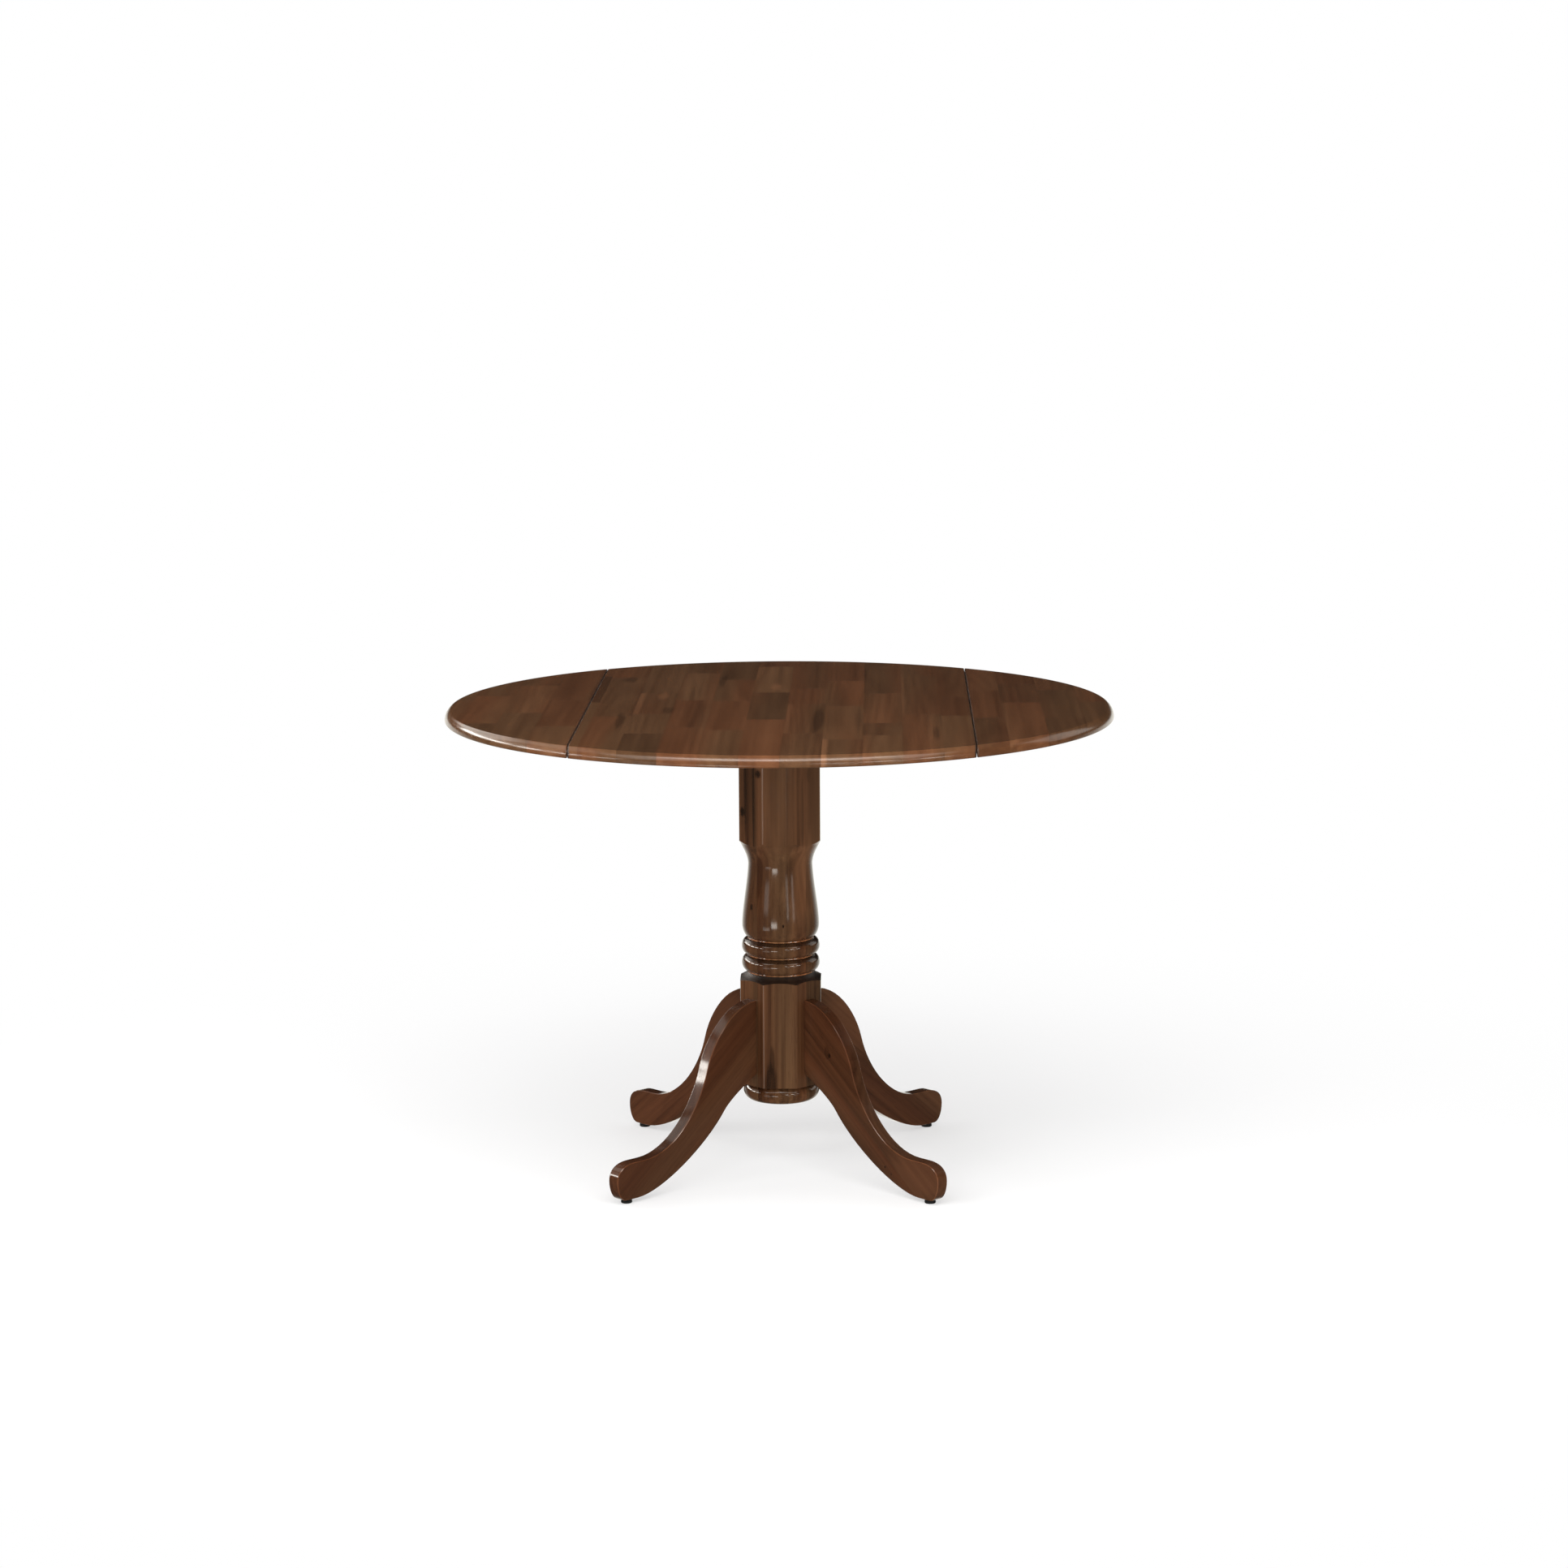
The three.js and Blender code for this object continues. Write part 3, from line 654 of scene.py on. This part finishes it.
profile += bezier(
    at_waist,
    (waist, turning_top - 0.11 * TURNING),
    (FLAT - 0.007, turning_top - 0.06 * TURNING),
    at_shoulder,
    12,
)
profile += [(BLANK, turning_top + BLANK - FLAT), (BLANK, post_high.z)]

post = bmesh.new()
turn_on_lathe(post, profile, POST_SIDES)
for eighth in range(8):
    facing = Vector((cos(eighth * pi / 4), sin(eighth * pi / 4), 0))
    saw(post, facing * FLAT, facing)
corner = FLAT / cos(pi / 8)


def on_flat(face):
    """Whether a face is one of the big flats of the octagons."""
    return abs(face.normal.z) < 0.02 and abs(face.normal.xy.length - 1) < 0.01 and face.calc_area() > 0.0005


scallops = [
    e for e in post.edges
    if len(e.link_faces) == 2 and sum(on_flat(f) for f in e.link_faces) == 1 and e.is_convex
    and 0.1 < e.calc_face_angle(0) < 1.3
]
bmesh.ops.bevel(
    post, geom=scallops, offset=FINE_EDGE, offset_type="OFFSET", segments=2, profile=0.5, affect="EDGES",
    clamp_overlap=True, material=-1,
)
arrises = [
    e for e in post.edges
    if abs((e.verts[0].co - e.verts[1].co).normalized().z) > 0.99
    and all(abs(hypot(v.co.x, v.co.y) - corner) < 0.0009 for v in e.verts)
]
bmesh.ops.bevel(
    post, geom=arrises, offset=ARRIS, offset_type="OFFSET", segments=4, profile=0.5, affect="EDGES",
    clamp_overlap=True, material=-1,
)
ALONG_Z = Matrix.Identity(4)
POST_PLANKS = [
    Stave(-0.09, (END, 0.92)),
    Stave(-0.0365, (END, 1.05)),
    Stave(0.012, (END, 1.0)),
    Stave(0.0418, (END, 0.94)),
]
glue_up(post, ALONG_Z, POST_PLANKS, seed=11)
# Painted shade darkens the cove and the tops of the beads, and painted highlight lightens the grooves and the
# arrises.
COVE_SHADE_TONE = 0.5
GROOVE_HIGHLIGHT_TONE = 1.9
BEAD_TOP_SHADE_TONE = 0.68
ARRIS_HIGHLIGHT_TONE = 1.08
tone_of = post.faces.layers.float["tone"]
beads_high = bead_low + 2 * bead_height
for face in post.faces:
    middle = face.calc_center_median()
    past_groove = middle.xy.length > groove + 0.0002
    # Painted shade in the cove under the beads.
    if face.normal.z > 0.3 and BLOCK_TOP - 0.01 < middle.z < bead_low - VALLEY:
        face[tone_of] = COVE_SHADE_TONE
    # Painted highlight along each groove.
    for height in (bead_low, bead_low + bead_height, beads_high):
        if not past_groove and -1.1 * VALLEY < middle.z - height < 0.2 * VALLEY:
            face[tone_of] = GROOVE_HIGHLIGHT_TONE
    # Painted shade on the tops of the beads.
    if past_groove and bead_low < middle.z < beads_high and face.normal.z > 0.5:
        face[tone_of] = BEAD_TOP_SHADE_TONE
    # Painted highlight on the eased arrises.
    on_arris = min(hypot(v.co.x, v.co.y) for v in face.verts) > corner - ARRIS
    if on_arris and abs(face.normal.z) < 0.1:
        face[tone_of] = ARRIS_HIGHLIGHT_TONE
# Knots and dark streaks, then painted light and shade: the three pale patches are painted light on the front of
# the upper block, on its right side and on the right of the vase, and the last dark patch is the painted shadow
# of the front right leg on the lower block.
POST_MARKS_AND_PAINTED_LIGHT = [
    ((-0.059, -0.033, 0.587), (0.008, 0.008, 0.013), 0.9),
    ((-0.033, -0.059, 0.652), (0.009, 0.009, 0.011), 0.9),
    ((-0.055, -0.037, 0.625), (0.004, 0.006, 0.10), 0.6),
    ((-0.041, -0.051, 0.615), (0.004, 0.004, 0.12), 0.6),
    ((0.047, -0.045, 0.648), (0.004, 0.006, 0.013), 0.6),
    ((0.037, -0.055, 0.585), (0.004, 0.005, 0.07), 0.6),
    ((-0.047, -0.039, 0.433), (0.005, 0.005, 0.009), 0.8),
    ((0.0058, -0.062, 0.406), (0.002, 0.003, 0.0035), 0.95),
    ((0.047, -0.032, 0.464), (0.006, 0.008, 0.05), 0.5),
    ((0.040, -0.047, 0.412), (0.004, 0.008, 0.03), 0.5),
    ((-0.015, -0.065, 0.148), (0.0115, 0.01, 0.040), 0.8),
    ((-0.013, -0.065, 0.185), (0.005, 0.01, 0.030), 0.6),
    ((0.0, -0.07, 0.63), (0.045, 0.03, 0.15), -0.2),
    ((0.06, -0.045, 0.60), (0.035, 0.04, 0.17), -0.3),
    ((0.045, -0.04, 0.47), (0.03, 0.035, 0.09), -0.35),
    ((0.06, -0.045, 0.20), (0.035, 0.04, 0.12), 0.15),
]
post_wood = walnut("post_walnut", (0.128, 0.057, 0.0260), (0.039, 0.0150, 0.0066), 0.10, 2.5, POST_MARKS_AND_PAINTED_LIGHT)
make_piece("post", post, post_wood, "base", ["pedestal_column"], sharp=24)


# ------------------------------------------------------------------ legs
# Four flat S-curved legs are bandsawn from glued-up boards with the grain running down the slope. Their edges
# are eased, and they are bolted to the diagonal flats of the post from inside its bore.
LEG_ANGLES = {"front_left": 225, "front_right": 315, "rear_right": 45, "rear_left": 135}
LEG_START = FLAT + 0.0003
LEG_REACH = 0.364
LEG_THICKNESS = 0.022
LEG_EASE = 0.0018
# Painted highlight: the eased arrises of the legs are lightened to this tone.
EDGE_HIGHLIGHT_TONE = 1.28
SOLE = leg_low.z


def leg_outline():
    """One leg from the side: at and sole take shares of its reach out from the post and of its height."""

    def at(out, up):
        return (LEG_START + out * (LEG_REACH - LEG_START), up * LEG_TOP)

    def sole(out):
        return (at(out, 0)[0], SOLE)

    points = [(LEG_START, LEG_FOOT_ON_POST), (LEG_START, LEG_TOP)]
    points += bezier(points[-1], at(0.169, 0.995), at(0.314, 0.82), at(0.361, 0.65), 12)
    points += bezier(points[-1], at(0.416, 0.447), at(0.594, 0.23), at(0.8, 0.23), 16)
    points += [at(0.835, 0.23)]
    points += bezier(at(0.87, 0.23), at(0.945, 0.23), at(1, 0.205), at(1, 0.135), 12)
    points += bezier(points[-1], at(1, 0.079), sole(0.976), sole(0.94), 8)
    points += bezier(sole(0.86), sole(0.686), at(0.368, 0.227), at(0.236, 0.402), 16)
    points += bezier(points[-1], at(0.196, 0.456), at(0.054, 0.545), (LEG_START, LEG_FOOT_ON_POST), 8)
    return points


GRAIN_SLOPE = radians(-38)
LEG_BOARDS = {
    "front_left": [Stave(-1, (END, 0.97)), Stave(0.075, (END, 1.02)), Stave(0.165, (END, 1.0))],
    "front_right": [Stave(-1, (END, 1.0)), Stave(0.11, (END, 1.04)), Stave(0.2, (END, 0.98))],
    "rear_left": [Stave(-1, (END, 1.0)), Stave(0.10, (END, 0.97)), Stave(0.18, (END, 1.02))],
    "rear_right": [Stave(-1, (END, 0.98)), Stave(0.09, (END, 0.95)), Stave(0.232, (END, 1.03))],
}
# Knots first, then a pale patch on the front right foot; the two pale patches on the rear legs are painted
# light.
LEG_MARKS_AND_PAINTED_LIGHT = [
    ((0.0793, -0.0948, 0.202), (0.003, 0.003, 0.004), 0.9),
    ((0.0750, -0.0910, 0.207), (0.006, 0.006, 0.014), 0.35),
    ((0.1677, -0.1832, 0.0426), (0.0025, 0.0025, 0.003), 0.8),
    ((0.1773, -0.1928, 0.0333), (0.002, 0.002, 0.0025), 0.7),
    ((0.225, -0.235, 0.045), (0.07, 0.07, 0.05), -0.25),
    ((-0.10, 0.10, 0.22), (0.08, 0.08, 0.09), -0.25),
    ((0.10, 0.10, 0.22), (0.08, 0.08, 0.09), -0.25),
]
leg_wood = walnut("leg_walnut", (0.093, 0.0355, 0.0160), (0.038, 0.0137, 0.0061), 0.13, 1.6, LEG_MARKS_AND_PAINTED_LIGHT)
for number, (name, angle) in enumerate(LEG_ANGLES.items()):
    leg = bmesh.new()
    verts, edges = outline(leg, leg_outline(), closed=True)
    bmesh.ops.translate(leg, verts=verts, vec=(0, LEG_THICKNESS / 2, 0))
    side_face = bmesh.ops.contextual_create(leg, geom=edges)["faces"]
    pulled = bmesh.ops.extrude_face_region(leg, geom=side_face)["geom"]
    moved = [v for v in pulled if isinstance(v, bmesh.types.BMVert)]
    bmesh.ops.translate(leg, verts=moved, vec=(0, -LEG_THICKNESS, 0))
    bmesh.ops.recalc_face_normals(leg, faces=leg.faces)
    arrises = [
        e for e in leg.edges
        if abs(e.verts[0].co.y - e.verts[1].co.y) < SLICE
        and max(v.co.x for v in e.verts) > LEG_START + 0.001
    ]
    bmesh.ops.bevel(
        leg, geom=arrises, offset=LEG_EASE, offset_type="OFFSET", segments=3, profile=0.5, affect="EDGES",
        material=-1,
    )
    turn = Matrix.Rotation(radians(angle), 4, "Z")
    bmesh.ops.transform(leg, matrix=turn, verts=leg.verts)
    down_slope = turn.to_3x3() @ Vector((cos(GRAIN_SLOPE), 0, sin(GRAIN_SLOPE)))
    across_slope = turn.to_3x3() @ Vector((-sin(GRAIN_SLOPE), 0, cos(GRAIN_SLOPE)))
    through = turn.to_3x3() @ Vector((0, 1, 0))
    glue_up(leg, Matrix((across_slope, through, down_slope)).to_4x4(), LEG_BOARDS[name], seed=20 + number)
    tone_of = leg.faces.layers.float["tone"]
    # Painted highlight along the eased arrises.
    for face in leg.faces:
        if 0.2 < abs(face.normal.dot(through)) < 0.95:
            face[tone_of] = EDGE_HIGHLIGHT_TONE
    make_piece(f"leg_{name}_shaped", leg, leg_wood, "base", [f"leg_{name}"], sharp=24)


# ------------------------------------------------------------------ glides
# A black plastic glide with its own nail is driven into the sole of each foot.
_, glide_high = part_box("glide_front_left")
GLIDE_RADIUS = 0.009
GLIDE_OUT = LEG_REACH - 0.027
NAIL_RADIUS = 0.0016
black = Finish(bpy.data.materials.new("black_plastic"))
place = black.node("ShaderNodeTexCoord", output="Object")
mottle = black.noise(place, (260, 260, 260), detail=3)
scuff = black.noise(place, (90, 90, 700), detail=3).ramp(0.52, 0.68)
height = black.node("ShaderNodeSeparateXYZ", inputs={0: place}, output="Z")
worn = scuff * height.ramp(0.004, 0.0005)
tint = black.mix(mottle, (0.004, 0.004, 0.004, 1), (0.010, 0.010, 0.010, 1))
tint = black.mix(worn * 0.7, tint, (0.06, 0.058, 0.055, 1))
grain = black.node("ShaderNodeBump", inputs={"Strength": 0.3, "Distance": 0.0003, "Height": mottle - worn})
plastic = black.node(
    "ShaderNodeBsdfPrincipled",
    inputs={
        "Base Color": tint,
        "Roughness": mottle * 0.2 + worn * 0.3 + 0.38,
        "Specular IOR Level": 0.2,
        "Normal": grain,
    },
)
black.node("ShaderNodeOutputMaterial", inputs={"Surface": plastic})
for name, angle in LEG_ANGLES.items():
    glide = bmesh.new()
    side = arc((GLIDE_RADIUS - 0.0016, 0.0016), (0.0016, 0.0016), -90, 0, 5)
    side += arc((GLIDE_RADIUS - 0.0013, SOLE - 0.0013), (0.001, 0.001), 10, 90, 5)
    side += [(NAIL_RADIUS, SOLE - 0.0003), (NAIL_RADIUS, glide_high.z - 0.003), (0.0003, glide_high.z)]
    turn_on_lathe(glide, side, 40)
    bmesh.ops.translate(glide, verts=glide.verts, vec=(GLIDE_OUT, 0, 0))
    bmesh.ops.rotate(glide, verts=glide.verts, matrix=Matrix.Rotation(radians(angle), 3, "Z"))
    make_piece(f"foot_glide_{name}", glide, black.owner, "base", [f"glide_{name}"], sharp=40)


# ------------------------------------------------------------------ mounting plate
# A hardwood plate joins post and top. Four lag bolts go down through it into the post, with their heads sunk in
# its upper face, and six screws go up through its ends into the centre panel.
def copy_of(node):
    """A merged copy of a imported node, its flat faces whole again."""
    bm = bmesh.new()
    bm.from_mesh(frame["nodes"][node].data)
    bmesh.ops.remove_doubles(bm, verts=bm.verts, dist=2e-6)
    bmesh.ops.dissolve_limit(bm, angle_limit=radians(1), verts=bm.verts, edges=bm.edges)
    return bm


def ease_edges(bm, offset, sharper_than=35, segments=2):
    edges = [e for e in bm.edges if len(e.link_faces) == 2 and e.calc_face_angle(0) > radians(sharper_than)]
    bmesh.ops.bevel(
        bm, geom=edges, offset=offset, offset_type="OFFSET", segments=segments, profile=0.5, affect="EDGES",
        clamp_overlap=True, material=-1,
    )


plate = copy_of("top_mounting_plate")
ease_edges(plate, 0.0007)
ALONG_X = Matrix(((0, 1, 0, 0), (0, 0, 1, 0), (1, 0, 0, 0), (0, 0, 0, 1)))
PLATE_BOARDS = [Stave(-1, (END, 0.95)), Stave(-0.045, (END, 1.0)), Stave(0.05, (END, 0.9))]
glue_up(plate, ALONG_X, PLATE_BOARDS, seed=31)
plate_wood = walnut("plate_walnut", (0.085, 0.036, 0.016), (0.045, 0.018, 0.008), 0.34, 0.9)
make_piece("mounting_plate", plate, plate_wood, "base", ["top_mounting_plate"])


# ------------------------------------------------------------------ hinges, stays and bolts
# Steel strip is stamped, folded round its pin or riveted, and zinc plated. Three hinges carry each leaf, and
# two folding stays hold it up. The plating is bright with a faint crystal pattern, and has dull spots.
def plated(name, bright, dull, roughness):
    metal = Finish(bpy.data.materials.new(name))
    place = metal.node("ShaderNodeTexCoord", output="Object")
    cloud = metal.noise(place, (45, 45, 45), detail=3)
    brushed = metal.noise(place, (1400, 60, 900), detail=2)
    spangle = metal.node("ShaderNodeTexVoronoi", inputs={"Vector": place, "Scale": 420.0}, output="Color")
    crystal = metal.node("ShaderNodeSeparateColor", inputs={0: spangle})
    spots = metal.noise(place, (190, 190, 190), detail=3).ramp(0.60, 0.72)
    colour = metal.mix((cloud * 0.7 + crystal * 0.3), (*dull, 1), (*bright, 1))
    colour = metal.mix(spots * 0.5, colour, tuple(c * 0.45 for c in dull) + (1,))
    scratches = {"Strength": 0.15, "Distance": 0.0002, "Height": brushed}
    scratched = metal.node("ShaderNodeBump", inputs=scratches)
    surface = metal.node(
        "ShaderNodeBsdfPrincipled",
        inputs={
            "Base Color": colour,
            "Metallic": 1.0,
            "Roughness": (cloud - 0.5) * 0.15 + brushed * 0.12 + spots * 0.2 + roughness,
            "Normal": scratched,
        },
    )
    metal.node("ShaderNodeOutputMaterial", inputs={"Surface": surface})
    return metal.owner


zinc = plated("zinc_plate", (0.66, 0.65, 0.62), (0.42, 0.41, 0.39), 0.26)
hinge_metal = plated("hinge_steel", (0.56, 0.54, 0.49), (0.33, 0.32, 0.29), 0.30)
METAL_EDGE = 0.0003
bodies = frame["record"]["behaviour"]["bodies"]
for body, nodes in bodies.items():
    for node in nodes:
        if node.startswith(("hinge_", "stay_", "plate_bolt_", "leg_bolt_")):
            part = copy_of(node)
            ease_edges(part, METAL_EDGE, segments=1)
            is_hinge = node.startswith("hinge_")
            kind, slot = (hinge_metal, "hinge_steel") if is_hinge else (zinc, "zinc_steel")
            make_piece(f"{node}_plated", part, kind, body, [node], sharp=40)


# ------------------------------------------------------------------ screws
# Countersunk wood screws hold the hinge plates, the feet of the stay brackets and the ends of the mounting
# plate. Each head sits a hair proud of the metal, with a driver recess.
SCREW_HEAD = 0.0034
SCREW_PROUD = 0.0005
SCREW_SHANK = 0.009


def drive_screw(bm, x, y, z, head=SCREW_HEAD):
    """A screw whose head shows below z, its shank going up into the wood."""
    screw = bmesh.new()
    recess = [(0.0002, z - SCREW_PROUD * 0.2 + 0.0012), (head * 0.34, z + 0.0006)]
    dome_edge = [(head * 0.42, z - SCREW_PROUD), (head * 0.8, z - SCREW_PROUD * 0.8)]
    cone = [(head, z - SCREW_PROUD * 0.2), (head, z), (head * 0.45, z + head * 0.6)]
    shank = [(head * 0.42, z + SCREW_SHANK), (0.0002, z + SCREW_SHANK + 0.002)]
    turn_on_lathe(screw, recess + dome_edge + cone + shank, 16)
    bmesh.ops.translate(screw, verts=screw.verts, vec=(x, y, 0))
    held = bpy.data.meshes.new("screw")
    screw.to_mesh(held)
    screw.free()
    bm.from_mesh(held)
    bpy.data.meshes.remove(held)


screws = {"base": bmesh.new(), "left_leaf": bmesh.new(), "right_leaf": bmesh.new()}
METAL_THICK = 0.002
PLATE_SCREW_HEAD = 0.0042
HINGE_SCREWS = ((0.007, -0.022), (0.015, 0.0), (0.007, 0.022))
for side, name in ((1, "right"), (-1, "left")):
    for where in ("front", "middle", "rear"):
        for plate_kind, body, out in (("panel_plate", "base", -side), ("leaf_plate", f"{name}_leaf", side)):
            low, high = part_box(f"hinge_{name}_{where}_{plate_kind}")
            edge = high.x if out > 0 else low.x
            for in_from_edge, along in HINGE_SCREWS:
                middle = (low.y + high.y) / 2
                drive_screw(screws[body], edge - out * in_from_edge, middle + along, high.z - METAL_THICK)
    for where in ("front", "rear"):
        brackets = (("panel_bracket", "base", -side), ("leaf_bracket", f"{name}_leaf", side))
        for kind, body, far_edge in brackets:
            low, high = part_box(f"stay_{name}_{where}_{kind}")
            foot = high.y - 0.0065 if far_edge > 0 else low.y + 0.0065
            for along in (-0.018, 0.018):
                drive_screw(screws[body], (low.x + high.x) / 2 + along, foot, high.z - METAL_THICK)
plate_low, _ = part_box("top_mounting_plate")
for x in (-0.145, 0.145):
    for y in (-0.09, 0.0, 0.09):
        drive_screw(screws["base"], x, y, plate_low.z, head=PLATE_SCREW_HEAD)
for body, heads in screws.items():
    make_piece(f"wood_screws_{body}", heads, zinc, body, sharp=50)
